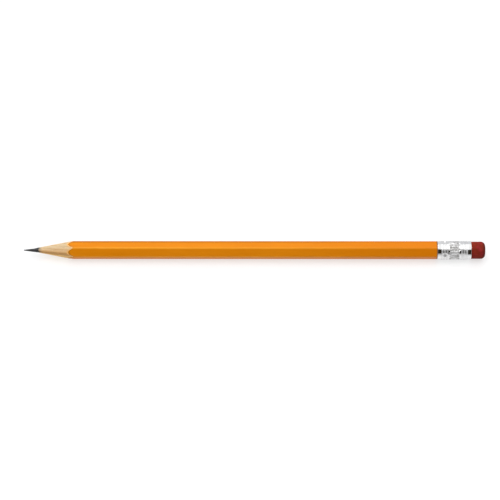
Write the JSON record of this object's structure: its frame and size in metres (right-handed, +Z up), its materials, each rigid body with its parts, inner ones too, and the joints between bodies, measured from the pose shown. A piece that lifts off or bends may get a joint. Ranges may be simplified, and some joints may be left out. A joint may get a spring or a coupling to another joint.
{
  "type": "graphite pencil",
  "caption": "Sharpened hexagonal wood-cased graphite pencil with a yellow-orange lacquered barrel, an aluminium ferrule and a red-brown eraser.",
  "frame": {"origin": "under the middle of the pencil's length, on the level surface that the ferrule, its widest part, touches", "axes": "+X along the pencil from the writing point to the eraser, +Z up out of a flat of the barrel, +Y across the barrel towards a corner, in the plane where the two slats are glued"},
  "size_m": [0.19, 0.0078, 0.0079],
  "materials": {
    "graphite": "satin",
    "cedar": "matte",
    "glue": "matte",
    "primer": "matte",
    "lacquer": "gloss",
    "aluminium": "polished",
    "eraser_rubber": "matte"
  },
  "bodies": {
    "root": {"graphite_core": "graphite", "upper_slat": "cedar", "lower_slat": "cedar", "glue_film": "glue", "primer_coat": "primer", "lacquer_coat": "lacquer", "ferrule": "aluminium", "eraser": "eraser_rubber"}
  },
  "joints": []
}
